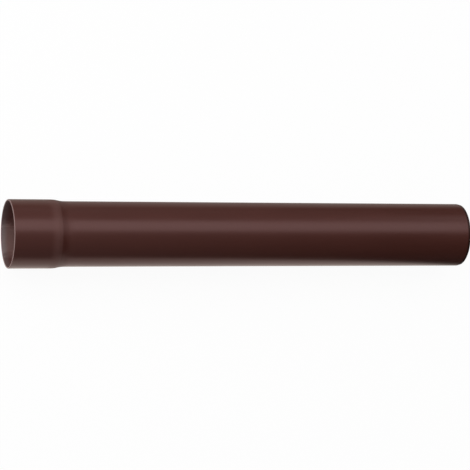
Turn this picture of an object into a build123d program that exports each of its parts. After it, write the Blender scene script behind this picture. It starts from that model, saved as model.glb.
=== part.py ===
from build123d import *

import os
from math import radians, tan

# A round rainwater downpipe in rigid PVC, lying on its side, with a push-fit socket formed on one end.
# The axis of the pipe is X. The mouth of the socket is in the plane X = 0, and the plain end is at +X.

# Driving dimensions, in millimetres and degrees
outside_diameter = 75.0
wall = 1.8
laying_length = 500.0

# The socket is expanded from the pipe's own wall, which is drawn a little thinner there
socket_depth = 52.5
socket_clearance = 0.4
socket_wall = 1.7

# The shoulder from the socket down to the barrel is a ramp with a bend at each end
shoulder_angle = 12.0
shoulder_bend_radius = 32.0

# The edges of the two ends. The mouth has a lead-in inside, a narrow flat, and a rounded edge outside
lead_in_length = 0.7
lead_in_depth = 0.4
mouth_flat = 0.2
spigot_chamfer_angle = 15.0
spigot_chamfer_depth = 0.9

# Radii that follow from them
barrel_radius = outside_diameter / 2
bore_radius = barrel_radius - wall
socket_bore_radius = barrel_radius + socket_clearance / 2
socket_radius = socket_bore_radius + socket_wall
mouth_edge_radius = socket_wall - lead_in_depth - mouth_flat
outer_bend_radius = shoulder_bend_radius + wall

# Places along the axis. The outer ramp starts a little later than the inner one, so that the wall
# keeps its thickness round the bend
ramp_slope = tan(radians(shoulder_angle))
ramp_shift = socket_wall * tan(radians(shoulder_angle / 2))
inner_ramp_end = socket_depth + (socket_bore_radius - bore_radius) / ramp_slope
outer_ramp_start = socket_depth + ramp_shift
outer_ramp_end = outer_ramp_start + (socket_radius - barrel_radius) / ramp_slope

# A spigot slides in until its end, thinner by the chamfer, meets the narrowing ramp
spigot_end_radius = barrel_radius - spigot_chamfer_depth
insertion_depth = socket_depth + (socket_bore_radius - spigot_end_radius) / ramp_slope
total_length = insertion_depth + laying_length
spigot_chamfer_start = total_length - spigot_chamfer_depth / tan(radians(spigot_chamfer_angle))

os.makedirs("parts", exist_ok=True)

# Pipe: half of its lengthwise section, turned once round the axis
with BuildPart() as pipe:
    with BuildSketch(Plane.XZ) as wall_section:
        with BuildLine() as outline:
            mouth_edge = TangentArc(
                (0, socket_radius - mouth_edge_radius),
                (mouth_edge_radius, socket_radius),
                tangent=(0, 1),
            )
            outside = FilletPolyline(
                mouth_edge @ 1,
                (outer_ramp_start, socket_radius),
                (outer_ramp_end, barrel_radius),
                (spigot_chamfer_start, barrel_radius),
                radius=[outer_bend_radius, shoulder_bend_radius],
            )
            spigot_end = Polyline(
                outside @ 1,
                (total_length, spigot_end_radius),
                (total_length, bore_radius),
            )
            inside = FilletPolyline(
                spigot_end @ 1,
                (inner_ramp_end, bore_radius),
                (socket_depth, socket_bore_radius),
                (lead_in_length, socket_bore_radius),
                radius=[outer_bend_radius, shoulder_bend_radius],
            )
            mouth_face = Polyline(
                inside @ 1,
                (0, socket_bore_radius + lead_in_depth),
                mouth_edge @ 0,
            )
        make_face()
    revolve(axis=Axis.X)

pipe.part.label = "pipe"
export_step(pipe.part, "parts/pipe.step")
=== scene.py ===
from math import cos, pi, radians, sin

import bpy
from mathutils import Matrix, Vector


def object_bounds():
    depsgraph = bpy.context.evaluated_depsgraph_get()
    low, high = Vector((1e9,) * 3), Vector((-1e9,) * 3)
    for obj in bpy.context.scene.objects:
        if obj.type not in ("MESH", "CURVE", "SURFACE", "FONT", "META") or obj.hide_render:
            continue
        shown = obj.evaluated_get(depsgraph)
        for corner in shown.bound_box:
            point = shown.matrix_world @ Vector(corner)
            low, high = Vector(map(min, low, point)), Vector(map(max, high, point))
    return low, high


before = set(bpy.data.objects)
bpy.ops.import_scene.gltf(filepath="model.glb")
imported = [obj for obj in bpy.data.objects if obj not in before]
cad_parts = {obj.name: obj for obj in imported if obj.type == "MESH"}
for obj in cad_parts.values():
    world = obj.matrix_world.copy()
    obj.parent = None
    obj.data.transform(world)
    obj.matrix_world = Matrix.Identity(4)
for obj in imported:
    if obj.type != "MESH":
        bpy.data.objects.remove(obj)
cad_low, cad_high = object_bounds()

# The pipe lies along X, with the mouth of its socket at X = 0 and its plain end at +X. Lengths are in metres.
# Where a name ends in START, END, EDGE or FOLD and holds a pair, the thing that it is about is absent at the
# first number and complete at the second
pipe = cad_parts["pipe"]
middle_x = cad_high.x / 2

# The outside of the shoulder: where its bends start and end, its steepest slope, and the radii of the bends
SHOULDER_START = 0.04913
SHOULDER_END = 0.06498
SHOULDER_ANGLE = radians(12)
BEND_RADII = (0.0338, 0.0320)

# The rounded outer edge of the mouth, and the chamfer of the plain end
MOUTH_EDGE = 0.0011
CHAMFER_LENGTH = 0.00336
CHAMFER_START = (cad_high.x - 0.0036, cad_high.x - 0.0032)

# The picture is square, and the camera isn't shifted
PICTURE_PX = 470
FOCAL_PX = 2000
SENSOR_MM = 36

# Where the centre of the mouth falls in the picture, and how far it is along the line of sight
MOUTH_PX = (7.53, 233.87)
MOUTH_DEPTH = 2.2645

# The line of sight is turned away from the mouth, and raised round the pipe's own axis
CAMERA_TURN = radians(18.25)
CAMERA_RAISE = radians(80)
CAMERA_ROLL = radians(-0.115)

# Colours, as linear values
WHITE = (1.0, 1.0, 1.0, 1.0)
PVC_BROWN = (0.051, 0.0134, 0.0091, 1.0)
# A painted highlight: the shoulder painted paler than the barrel
SHOULDER_PAINTED_HIGHLIGHT = (0.072, 0.027, 0.022, 1.0)
# Painted shade: the plain end's chamfer painted darker than the plastic
CHAMFER_PAINTED_SHADE = (0.022, 0.006, 0.004, 1.0)
# Cut faces are paler, as freshly cut plastic is, and the same colour is a painted highlight on the mouth's
# rounded rim
CUT_AND_RIM_HIGHLIGHT = (0.24, 0.165, 0.158, 1.0)
# Inside: paler at the mouth as painted light, darker deeper in as painted shade
INSIDE_PAINTED_LIGHT = (0.118, 0.076, 0.073, 1.0)
INSIDE_BROWN = (0.098, 0.040, 0.035, 1.0)
# A painted pool of light along the lowest line inside, paler at the mouth than deeper in
PAINTED_POOL_GREY = (0.215, 0.170, 0.165, 1.0)
PAINTED_POOL_BROWN = (0.185, 0.105, 0.094, 1.0)

# The gloss of the plastic
PVC_IOR = 1.5
PVC_GLOSS_TINT = (1.0, 0.66, 0.66, 1.0)

# The shoulder is painted paler, up to a line on it, as a painted highlight. Forming leaves the plastic duller
# as far as the shoulder's foot. It also leaves rings round the socket
FORMING_AND_HIGHLIGHT_START = (0.041, 0.051)
PAINTED_HIGHLIGHT_END = (0.0561, 0.0551)
FOOT_END = (0.0700, 0.0600)
RINGS_END = (0.061, 0.053)

# Inside, the mouth is painted paler and greyer, as the light that enters it, and deeper in it is painted
# darker, as shade
PAINTED_SHADE_START = (0.002, 0.009)

# A pool of painted light lies along the lowest line inside. How far down the wall faces is 0 at the sides and
# 1 at the bottom, and patches make the edge of the painted light uneven
PAINTED_POOL_EDGE = (0.76, 0.97)
PAINTED_POOL_UNEVEN = 0.35

# The inside begins where the surface turns from facing outward to facing the axis. A cut edge begins where it
# leans this far along the pipe
INSIDE_EDGE = (0.03, -0.03)
CUT_START = (0.30, 0.60)

# The marks on the plastic are noise from 0 to 1. Each has its stretch along the axes, the size of its
# features and its detail
NOISE_MIDDLE = 0.5
DIE_LINES = ((0.004, 1, 1), 0.0014, 3)
WAVES = ((0.15, 1, 1), 0.018, 1)
RINGS = ((1, 0.03, 0.03), 0.0026, 2)
GRAIN = ((1, 1, 1), 0.0004, 2)
CLOUDS = ((0.35, 1, 1), 0.030, 2)
SCUFFS = ((0.06, 1, 1), 0.0011, 2)
PATCHES = ((0.45, 1, 1), 0.006, 3)

# A scuff shows where its own noise is high and the clouds are too
SCUFF_EDGE = (0.66, 0.72)
SCUFF_CLOUD_EDGE = (0.50, 0.66)

# What each mark adds to the shade, to the roughness, and to the height, which is in metres
SHADE = 0.85
SHADE_ADDED = {"clouds": 0.18, "die_lines": 0.12, "scuffs": 0.30}
ROUGHNESS = 0.23
ROUGHNESS_ADDED = {"clouds": 0.10, "die_lines": 0.06, "scuffs": 0.15, "forming": 0.12}
HEIGHT_ADDED = {"die_lines": 5e-6, "waves": 5e-5, "grain": 1e-6, "rings": 1e-5}
INSIDE_ROUGHNESS = 0.50
CHAMFER_ROUGHNESS = 0.45
CUT_ROUGHNESS = 0.55

# The floor, and how white it looks to the camera
FLOOR_SIZE = 40
FLOOR_WHITE = (0.88, 0.88, 0.88, 1.0)
FLOOR_SEEN = 0.95

# The gloss of the pipe mirrors the floor as a strip, at one level in front of the pipe and another behind it,
# and as nearly black beyond the strip. The strip narrows towards the plain end: its half width is the edge
# less the slant times X
STRIP_WHITE = (1.0, 0.87, 0.80, 1.0)
STRIP_IN_FRONT = 1.15
STRIP_BEHIND = 0.50
BEYOND_STRIP = 0.05
STRIP_FOLD = (-0.01, 0.01)
STRIP_MIDDLE = 0.07
STRIP_SLANT = 0.59
STRIP_EDGE = (0.49, 0.42)

# The room's light falls off to the right, and on the left side it falls off to the front
ROOM_LEVEL = 0.92
ROOM_SLOPE = (-2.1, 0.16, 0.18)
LEFT_SIDE_START = (0.05, -0.35)
LEFT_SIDE_LEVEL = 0.62
LEFT_SIDE_SLOPE = 0.60

# The long soft box hangs along the pipe, this far above the line of sight as seen from the pipe
BOX_TARGET = Vector((middle_x + 0.35, 0, 0))
BOX_ABOVE = radians(29)
BOX_DISTANCE = 1.2
BOX_SIZE = (2.4, 0.80)
BOX_RADIANCE = 1.65

# A smaller one hangs higher and further right, and widens the highlight towards the plain end
UPPER_TARGET = Vector((middle_x + 1.30, 0, 0))
UPPER_ABOVE = radians(63)
UPPER_DISTANCE = 1.2
UPPER_SIZE = (1.2, 0.47)
UPPER_RADIANCE = 0.85

# A third one stands off to the left and lights the mouth
LEFT_TARGET = Vector((0, 0, 0))
LEFT_TURN = radians(55)
LEFT_ABOVE = radians(42)
LEFT_DISTANCE = 1.0
LEFT_SIZE = (0.7, 0.7)
LEFT_RADIANCE = 3.5


def new_material(name):
    material = bpy.data.materials.new(name)
    material.use_nodes = True
    material.node_tree.nodes.clear()
    return material, material.node_tree


def add(tree, kind, **settings):
    node = tree.nodes.new(kind)
    for key, value in settings.items():
        setattr(node, key, value)
    return node


def feed(tree, socket, value):
    """Links another node's output to a socket, or sets a plain value on it."""
    if isinstance(value, bpy.types.NodeSocket):
        tree.links.new(value, socket)
    else:
        socket.default_value = value


def compute(tree, operation, a, b=0.0, clamp=False):
    node = add(tree, "ShaderNodeMath", operation=operation, use_clamp=clamp)
    feed(tree, node.inputs[0], a)
    feed(tree, node.inputs[1], b)
    return node.outputs[0]


def plus(tree, a, b, clamp=False):
    return compute(tree, "ADD", a, b, clamp)


def minus(tree, a, b, clamp=False):
    return compute(tree, "SUBTRACT", a, b, clamp)


def times(tree, a, b):
    return compute(tree, "MULTIPLY", a, b)


def add_up(tree, base, values, shares):
    """The base, and each value that has a share times that share."""
    total = base
    for name, share in shares.items():
        total = plus(tree, total, times(tree, values[name], share))
    return total


def ramp(tree, value, edge, start=0.0, end=1.0):
    """start where the value is at the edge's first number, end at its second, and a smooth step between."""
    node = add(tree, "ShaderNodeMapRange", interpolation_type="SMOOTHSTEP")
    feed(tree, node.inputs["Value"], value)
    node.inputs["From Min"].default_value = edge[0]
    node.inputs["From Max"].default_value = edge[1]
    feed(tree, node.inputs["To Min"], start)
    feed(tree, node.inputs["To Max"], end)
    return node.outputs[0]


def blend(tree, kind, share, a, b):
    """a where the share is 0 and b where it is 1. The kind is FLOAT for a number and RGBA for a colour."""
    node = add(tree, "ShaderNodeMix", data_type=kind)
    feed(tree, node.inputs["Factor"], share)
    feed(tree, node.inputs["A"], a)
    feed(tree, node.inputs["B"], b)
    return node.outputs["Result"]


def coordinate(tree, vector, axis):
    node = add(tree, "ShaderNodeSeparateXYZ")
    tree.links.new(vector, node.inputs[0])
    return node.outputs[axis]


def compute_vector(tree, operation, a, b):
    node = add(tree, "ShaderNodeVectorMath", operation=operation)
    feed(tree, node.inputs[0], a)
    feed(tree, node.inputs[1], b)
    return node.outputs["Vector"]


def scale(tree, vector, factor):
    node = add(tree, "ShaderNodeVectorMath", operation="SCALE")
    feed(tree, node.inputs[0], vector)
    feed(tree, node.inputs["Scale"], factor)
    return node.outputs["Vector"]


def dot(tree, a, b):
    node = add(tree, "ShaderNodeVectorMath", operation="DOT_PRODUCT")
    feed(tree, node.inputs[0], a)
    feed(tree, node.inputs[1], b)
    return node.outputs["Value"]


def noise(tree, point, stretch, size, detail):
    """Noise from 0 to 1 whose features are size across, and size / stretch along each axis."""
    node = add(tree, "ShaderNodeTexNoise")
    tree.links.new(compute_vector(tree, "MULTIPLY", point, stretch), node.inputs["Vector"])
    node.inputs["Scale"].default_value = 1 / size
    node.inputs["Detail"].default_value = detail
    return node.outputs["Fac"]


def mix_surfaces(tree, share, a, b, out):
    mix = add(tree, "ShaderNodeMixShader")
    tree.links.new(share, mix.inputs[0])
    tree.links.new(a.outputs[0], mix.inputs[1])
    tree.links.new(b.outputs[0], mix.inputs[2])
    tree.links.new(mix.outputs[0], out.inputs["Surface"])


def make_camera():
    data = bpy.data.cameras.new("camera")
    data.sensor_width = SENSOR_MM
    data.lens = SENSOR_MM * FOCAL_PX / PICTURE_PX
    camera = bpy.data.objects.new("camera", data)
    bpy.context.scene.collection.objects.link(camera)
    bpy.context.scene.camera = camera

    # Level and square to the pipe but for the turn, then rolled about the line of sight
    right = Vector((cos(CAMERA_TURN), -sin(CAMERA_TURN), 0))
    ahead = Vector((sin(CAMERA_TURN), cos(CAMERA_TURN), 0))
    up = Vector((0, 0, 1))
    roll = Matrix.Rotation(CAMERA_ROLL, 3, ahead)
    right, up = roll @ right, roll @ up

    # The mouth is at the origin, so the camera is at the opposite of its place seen from the camera
    across = (MOUTH_PX[0] - PICTURE_PX / 2) / FOCAL_PX * MOUTH_DEPTH
    below = (MOUTH_PX[1] - PICTURE_PX / 2) / FOCAL_PX * MOUTH_DEPTH
    place = -(across * right - below * up + MOUTH_DEPTH * ahead)

    raised = Matrix.Rotation(-CAMERA_RAISE, 3, "X")
    axes = Matrix((raised @ right, raised @ up, raised @ -ahead)).transposed().to_4x4()
    camera.matrix_world = Matrix.Translation(raised @ place) @ axes


def make_floor():
    bpy.ops.mesh.primitive_plane_add(size=FLOOR_SIZE, location=(middle_x, 0, cad_low.z))
    floor = bpy.context.object
    floor.name = "floor"
    material, tree = new_material("floor_white")

    # What the gloss mirrors
    place = add(tree, "ShaderNodeNewGeometry").outputs["Position"]
    y = coordinate(tree, place, "Y")
    from_middle = compute(tree, "ABSOLUTE", minus(tree, y, STRIP_MIDDLE))
    slanted = plus(tree, from_middle, times(tree, coordinate(tree, place, "X"), STRIP_SLANT))
    in_strip = ramp(tree, y, STRIP_FOLD, STRIP_IN_FRONT, STRIP_BEHIND)
    in_gloss = ramp(tree, slanted, STRIP_EDGE, BEYOND_STRIP, in_strip)

    # This white is all that the gloss sees and most of what the camera sees. Other light meets a matt floor
    ray = add(tree, "ShaderNodeLightPath").outputs
    mirrored = compute(tree, "MAXIMUM", ray["Is Glossy Ray"], ray["Is Transmission Ray"])
    share = compute(tree, "MAXIMUM", times(tree, ray["Is Camera Ray"], FLOOR_SEEN), mirrored)
    white = add(tree, "ShaderNodeEmission")
    tree.links.new(blend(tree, "RGBA", mirrored, WHITE, STRIP_WHITE), white.inputs["Color"])
    tree.links.new(blend(tree, "FLOAT", mirrored, 1.0, in_gloss), white.inputs["Strength"])
    matt = add(tree, "ShaderNodeBsdfDiffuse")
    matt.inputs["Color"].default_value = FLOOR_WHITE
    mix_surfaces(tree, share, matt, white, add(tree, "ShaderNodeOutputMaterial"))
    floor.data.materials.append(material)


def make_room():
    """The world: white to the camera, and to all else a room whose light has a slope."""
    world = bpy.data.worlds.new("studio")
    bpy.context.scene.world = world
    world.use_nodes = True
    tree = world.node_tree
    tree.nodes.clear()

    direction = add(tree, "ShaderNodeTexCoord").outputs["Generated"]
    level = plus(tree, dot(tree, direction, ROOM_SLOPE), ROOM_LEVEL, clamp=True)
    on_left = ramp(tree, coordinate(tree, direction, "X"), LEFT_SIDE_START)
    falling = times(tree, coordinate(tree, direction, "Y"), LEFT_SIDE_SLOPE)
    left_level = plus(tree, LEFT_SIDE_LEVEL, falling, clamp=True)
    strength = times(tree, level, blend(tree, "FLOAT", on_left, 1.0, left_level))

    room = add(tree, "ShaderNodeBackground")
    tree.links.new(strength, room.inputs["Strength"])
    white = add(tree, "ShaderNodeBackground")
    white.inputs["Color"].default_value = WHITE
    seen = add(tree, "ShaderNodeLightPath").outputs["Is Camera Ray"]
    mix_surfaces(tree, seen, room, white, add(tree, "ShaderNodeOutputWorld"))


def make_soft_box(name, target, distance, turn, above, size, radiance):
    """A rectangular lamp that faces its target, turned to the left and raised above the line of sight."""
    data = bpy.data.lights.new(name, "AREA")
    data.shape = "RECTANGLE"
    data.size, data.size_y = size
    # A flat lamp sends out pi times its radiance times its area
    data.energy = pi * radiance * size[0] * size[1]

    raised = CAMERA_RAISE + above
    back = Vector((-sin(turn), -cos(turn) * cos(raised), cos(turn) * sin(raised)))
    along = Vector((1, 0, 0))
    along = (along - along.dot(back) * back).normalized()
    axes = Matrix((along, back.cross(along), back)).transposed().to_4x4()
    lamp = bpy.data.objects.new(name, data)
    lamp.matrix_world = Matrix.Translation(target + distance * back) @ axes
    lamp.visible_camera = False
    bpy.context.scene.collection.objects.link(lamp)


def turned_form(tree, x, radial, side, inside, mesh_lean):
    """How far the turned form leans along the pipe, and its normal, which shows none of the mesh's flats."""
    # Round a bend the lean grows evenly from nothing, and between the bends it is that of the slope
    rising = compute(tree, "DIVIDE", minus(tree, x, SHOULDER_START), BEND_RADII[0])
    falling = compute(tree, "DIVIDE", minus(tree, SHOULDER_END, x), BEND_RADII[1])
    slope = compute(tree, "MINIMUM", compute(tree, "MINIMUM", rising, falling), sin(SHOULDER_ANGLE))
    slope = times(tree, compute(tree, "MAXIMUM", slope, 0.0), side)

    # The mouth's outer edge is a quarter of a circle. Its lead-in and the plain end keep the mesh's own lean
    rounded = minus(tree, compute(tree, "DIVIDE", x, MOUTH_EDGE), 1.0)
    at_mouth = blend(tree, "FLOAT", inside, rounded, mesh_lean)
    lean = blend(tree, "FLOAT", compute(tree, "LESS_THAN", x, MOUTH_EDGE), slope, at_mouth)
    at_plain_end = compute(tree, "GREATER_THAN", x, cad_high.x - CHAMFER_LENGTH)
    lean = blend(tree, "FLOAT", at_plain_end, lean, mesh_lean)

    # The rest of the normal points straight out from the axis, or straight in
    rest = compute(tree, "SQRT", minus(tree, 1.0, times(tree, lean, lean), clamp=True))
    axial = add(tree, "ShaderNodeCombineXYZ")
    tree.links.new(lean, axial.inputs["X"])
    spread = scale(tree, radial, times(tree, rest, side))
    return lean, compute_vector(tree, "ADD", spread, axial.outputs[0])


def find_marks(tree, point, x):
    """How strong each mark that making and use have left is at a point."""
    clouds = noise(tree, point, *CLOUDS)
    scuffs = ramp(tree, noise(tree, point, *SCUFFS), SCUFF_EDGE)
    return {
        "clouds": clouds,
        "scuffs": times(tree, scuffs, ramp(tree, clouds, SCUFF_CLOUD_EDGE)),
        "die_lines": noise(tree, point, *DIE_LINES),
        "waves": noise(tree, point, *WAVES),
        "grain": noise(tree, point, *GRAIN),
        "rings": times(tree, noise(tree, point, *RINGS), ramp(tree, x, RINGS_END)),
        "forming": times(tree, ramp(tree, x, FORMING_AND_HIGHLIGHT_START), ramp(tree, x, FOOT_END)),
    }


def outside_colour(tree, x):
    # The shoulder is painted paler up to a line on it, as a painted highlight
    painted_highlight = times(tree, ramp(tree, x, FORMING_AND_HIGHLIGHT_START), ramp(tree, x, PAINTED_HIGHLIGHT_END))
    return blend(tree, "RGBA", painted_highlight, PVC_BROWN, SHOULDER_PAINTED_HIGHLIGHT)


def inside_colour(tree, point, x, radial):
    # Paler at the mouth is painted light, and darker deeper in is painted shade
    painted_shade_deeper = ramp(tree, x, PAINTED_SHADE_START)
    wall_colour = blend(tree, "RGBA", painted_shade_deeper, INSIDE_PAINTED_LIGHT, INSIDE_BROWN)
    painted_pool = blend(tree, "RGBA", painted_shade_deeper, PAINTED_POOL_GREY, PAINTED_POOL_BROWN)
    # Paler along the lowest line inside: a painted pool of light
    down = dot(tree, radial, (0, 0, -1))
    patches = minus(tree, noise(tree, point, *PATCHES), NOISE_MIDDLE)
    uneven = plus(tree, down, times(tree, patches, PAINTED_POOL_UNEVEN))
    return blend(tree, "RGBA", ramp(tree, uneven, PAINTED_POOL_EDGE), wall_colour, painted_pool)


def make_pvc():
    material, tree = new_material("brown_pvc")

    # Where on the pipe this is: inside the bore, on a cut edge or on the plain end's chamfer
    point = add(tree, "ShaderNodeTexCoord").outputs["Object"]
    x = coordinate(tree, point, "X")
    off_axis = compute_vector(tree, "MULTIPLY", point, (0, 1, 1))
    unit = add(tree, "ShaderNodeVectorMath", operation="NORMALIZE")
    tree.links.new(off_axis, unit.inputs[0])
    radial = unit.outputs["Vector"]
    mesh_normal = add(tree, "ShaderNodeNewGeometry").outputs["Normal"]
    outward = dot(tree, radial, mesh_normal)
    side = compute(tree, "SIGN", outward)
    inside = ramp(tree, outward, INSIDE_EDGE)
    lean, normal = turned_form(tree, x, radial, side, inside, coordinate(tree, mesh_normal, "X"))
    cut = ramp(tree, compute(tree, "ABSOLUTE", lean), CUT_START)
    chamfer = times(tree, ramp(tree, x, CHAMFER_START), minus(tree, 1.0, inside))

    marks = find_marks(tree, point, x)
    colour = blend(tree, "RGBA", inside, outside_colour(tree, x), inside_colour(tree, point, x, radial))
    # The chamfer is painted darker, as painted shade
    colour = blend(tree, "RGBA", chamfer, colour, CHAMFER_PAINTED_SHADE)
    # Pale cut faces, which on the mouth's rounded rim is also a painted highlight
    colour = blend(tree, "RGBA", cut, colour, CUT_AND_RIM_HIGHLIGHT)
    colour = scale(tree, colour, add_up(tree, SHADE, marks, SHADE_ADDED))

    roughness = add_up(tree, ROUGHNESS, marks, ROUGHNESS_ADDED)
    roughness = blend(tree, "FLOAT", inside, roughness, INSIDE_ROUGHNESS)
    roughness = blend(tree, "FLOAT", chamfer, roughness, CHAMFER_ROUGHNESS)
    roughness = blend(tree, "FLOAT", cut, roughness, CUT_ROUGHNESS)

    bump = add(tree, "ShaderNodeBump")
    bump.inputs["Distance"].default_value = 1.0
    tree.links.new(add_up(tree, 0.0, marks, HEIGHT_ADDED), bump.inputs["Height"])
    tree.links.new(normal, bump.inputs["Normal"])

    surface = add(tree, "ShaderNodeBsdfPrincipled")
    surface.inputs["IOR"].default_value = PVC_IOR
    surface.inputs["Specular Tint"].default_value = PVC_GLOSS_TINT
    tree.links.new(colour, surface.inputs["Base Color"])
    tree.links.new(roughness, surface.inputs["Roughness"])
    tree.links.new(bump.outputs[0], surface.inputs["Normal"])
    out = add(tree, "ShaderNodeOutputMaterial")
    tree.links.new(surface.outputs[0], out.inputs["Surface"])
    return material


bpy.context.scene.view_settings.view_transform = "Standard"
make_camera()
make_floor()
make_room()
make_soft_box("soft_box", BOX_TARGET, BOX_DISTANCE, 0, BOX_ABOVE, BOX_SIZE, BOX_RADIANCE)
make_soft_box("upper_box", UPPER_TARGET, UPPER_DISTANCE, 0, UPPER_ABOVE, UPPER_SIZE, UPPER_RADIANCE)
make_soft_box("left_box", LEFT_TARGET, LEFT_DISTANCE, LEFT_TURN, LEFT_ABOVE, LEFT_SIZE, LEFT_RADIANCE)
pipe.material_slots[0].material = make_pvc()
